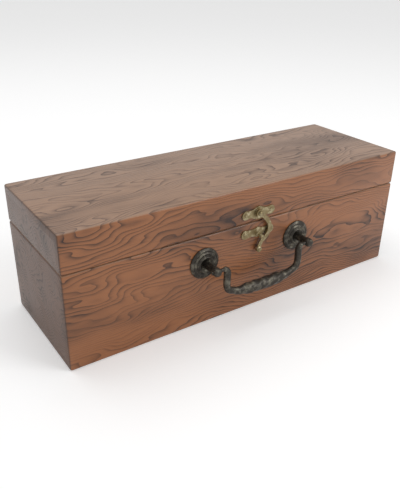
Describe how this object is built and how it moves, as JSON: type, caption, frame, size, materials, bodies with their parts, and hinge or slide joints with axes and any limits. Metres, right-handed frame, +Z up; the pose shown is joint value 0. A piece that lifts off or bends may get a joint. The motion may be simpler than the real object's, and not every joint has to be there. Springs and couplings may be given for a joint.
{
  "type": "wooden bottle box",
  "caption": "Long rectangular wooden box with a rear-hinged lid, a swing latch and a twisted drop handle on the front.",
  "frame": {"origin": "centre of the wooden box's underside", "axes": "+X along the box's length, +Z up; the latch and handle face -Y and the hinges face +Y"},
  "size_m": [0.35, 0.1426, 0.117],
  "materials": {
    "stained_wood": "satin lacquer over dark stain",
    "handle_bronze": "blackened bronze, rubbed on the ridges",
    "aged_brass": "antiqued brass",
    "fixing_steel": "plated"
  },
  "bodies": {
    "box_body": {"base_panel": "stained_wood", "body_front_panel": "stained_wood", "body_back_panel": "stained_wood", "body_left_end": "stained_wood", "body_right_end": "stained_wood", "left_rosette": "handle_bronze", "left_handle_post": "handle_bronze", "right_rosette": "handle_bronze", "right_handle_post": "handle_bronze", "left_post_washer": "fixing_steel", "left_post_nut": "fixing_steel", "right_post_washer": "fixing_steel", "right_post_nut": "fixing_steel", "latch_lower_plate": "aged_brass", "latch_lower_left_screw": "aged_brass", "latch_lower_right_screw": "aged_brass", "left_hinge_body_leaf": "aged_brass", "left_hinge_pin": "aged_brass", "left_hinge_body_screw_1": "aged_brass", "left_hinge_body_screw_2": "aged_brass", "right_hinge_body_leaf": "aged_brass", "right_hinge_pin": "aged_brass", "right_hinge_body_screw_1": "aged_brass", "right_hinge_body_screw_2": "aged_brass"},
    "lid": {"lid_top_panel": "stained_wood", "lid_front_rail": "stained_wood", "lid_back_rail": "stained_wood", "lid_left_end_rail": "stained_wood", "lid_right_end_rail": "stained_wood", "latch_upper_plate": "aged_brass", "latch_pivot_rivet": "aged_brass", "latch_upper_left_screw": "aged_brass", "latch_upper_right_screw": "aged_brass", "left_hinge_lid_leaf": "aged_brass", "left_hinge_lid_screw_1": "aged_brass", "left_hinge_lid_screw_2": "aged_brass", "right_hinge_lid_leaf": "aged_brass", "right_hinge_lid_screw_1": "aged_brass", "right_hinge_lid_screw_2": "aged_brass"},
    "latch_arm": {"latch_arm": "aged_brass"},
    "bail_handle": {"bail_handle": "handle_bronze"}
  },
  "joints": [
    {"name": "lid_hinge", "type": "hinge", "parent": "box_body", "child": "lid", "pos_m": [0, 0.0595, 0.08415], "axis": [-1, 0, 0], "range_deg": [0, 175]},
    {"name": "latch_swing", "type": "hinge", "parent": "lid", "child": "latch_arm", "pos_m": [0.003, -0.0575, 0.0925], "axis": [0, -1, 0], "range_deg": [0, 150]},
    {"name": "handle_swing", "type": "hinge", "parent": "box_body", "child": "bail_handle", "pos_m": [-0.002, -0.0755, 0.0595], "axis": [-1, 0, 0], "range_deg": [-24, 180]}
  ]
}
